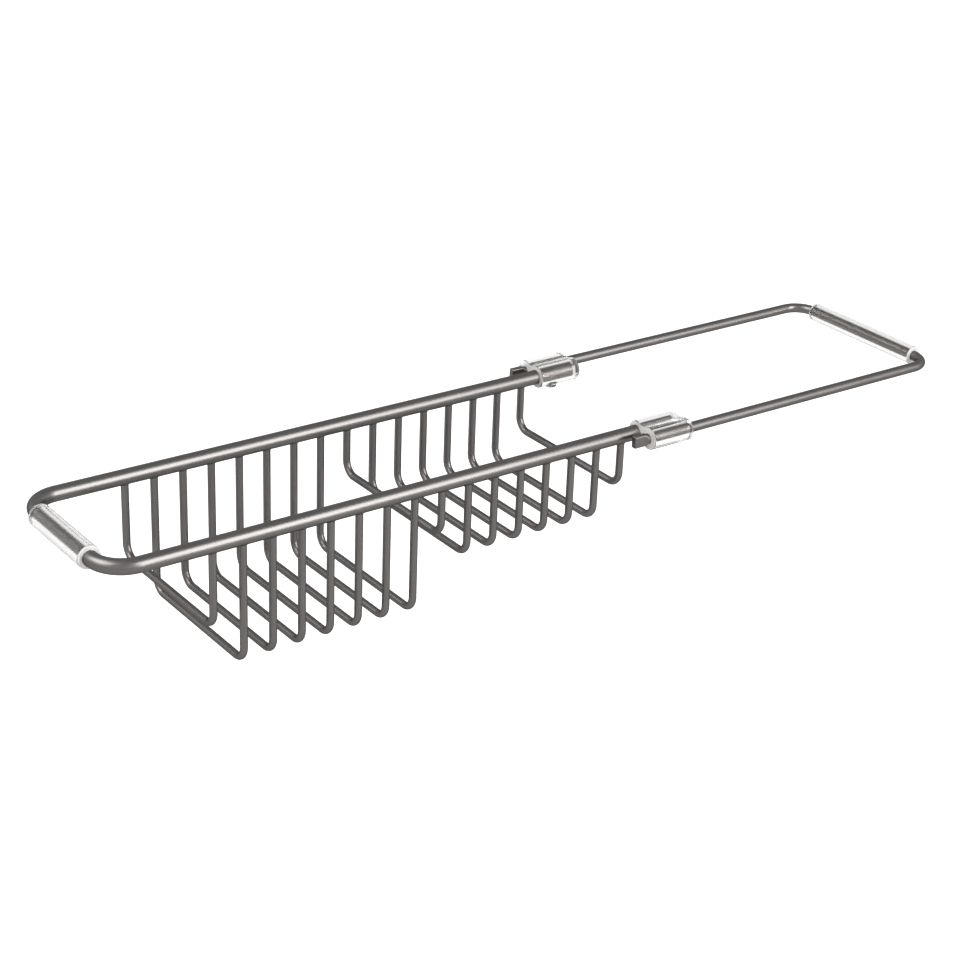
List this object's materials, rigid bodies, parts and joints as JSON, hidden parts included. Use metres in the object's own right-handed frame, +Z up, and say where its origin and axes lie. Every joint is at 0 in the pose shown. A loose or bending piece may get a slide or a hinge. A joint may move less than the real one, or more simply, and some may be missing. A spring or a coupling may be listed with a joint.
{
  "type": "sponge holder",
  "caption": "Extending over-the-sink sponge holder of graphite-coated steel wire, with a deep and a shallow basket, clear slide clips and clear end sleeves.",
  "frame": {"origin": "middle of the fixed end sleeve's underside, where the holder rests on a sink's edge", "axes": "+X along the rails to the sliding end, +Y to the rear rail, +Z up"},
  "size_m": [0.5254, 0.1204, 0.0747],
  "materials": {
    "graphite_steel": "satin graphite metallic coat",
    "clear_plastic": "clear, polished"
  },
  "bodies": {
    "holder": {"front_rail": "graphite_steel", "rear_rail": "graphite_steel", "cross_rod": "graphite_steel", "fixed_end_sleeve": "clear_plastic", "deep_basket_end_wire": "graphite_steel", "deep_basket_wire_1": "graphite_steel", "deep_basket_wire_2": "graphite_steel", "deep_basket_wire_3": "graphite_steel", "deep_basket_wire_4": "graphite_steel", "deep_basket_wire_5": "graphite_steel", "deep_basket_wire_6": "graphite_steel", "deep_basket_wire_7": "graphite_steel", "basket_divider_wire": "graphite_steel", "shallow_basket_wire_1": "graphite_steel", "shallow_basket_wire_2": "graphite_steel", "shallow_basket_wire_3": "graphite_steel", "shallow_basket_wire_4": "graphite_steel", "shallow_basket_wire_5": "graphite_steel", "shallow_basket_wire_6": "graphite_steel", "shallow_basket_end_wire": "graphite_steel", "front_clip": "clear_plastic", "rear_clip": "clear_plastic", "front_clip_peg": "clear_plastic", "rear_clip_peg": "clear_plastic"},
    "slider": {"sliding_frame": "graphite_steel", "sliding_end_sleeve": "clear_plastic"}
  },
  "joints": [
    {"name": "slider_slide", "type": "slide", "parent": "holder", "child": "slider", "axis": [1, 0, 0], "range_m": [-0.16, 0]}
  ]
}
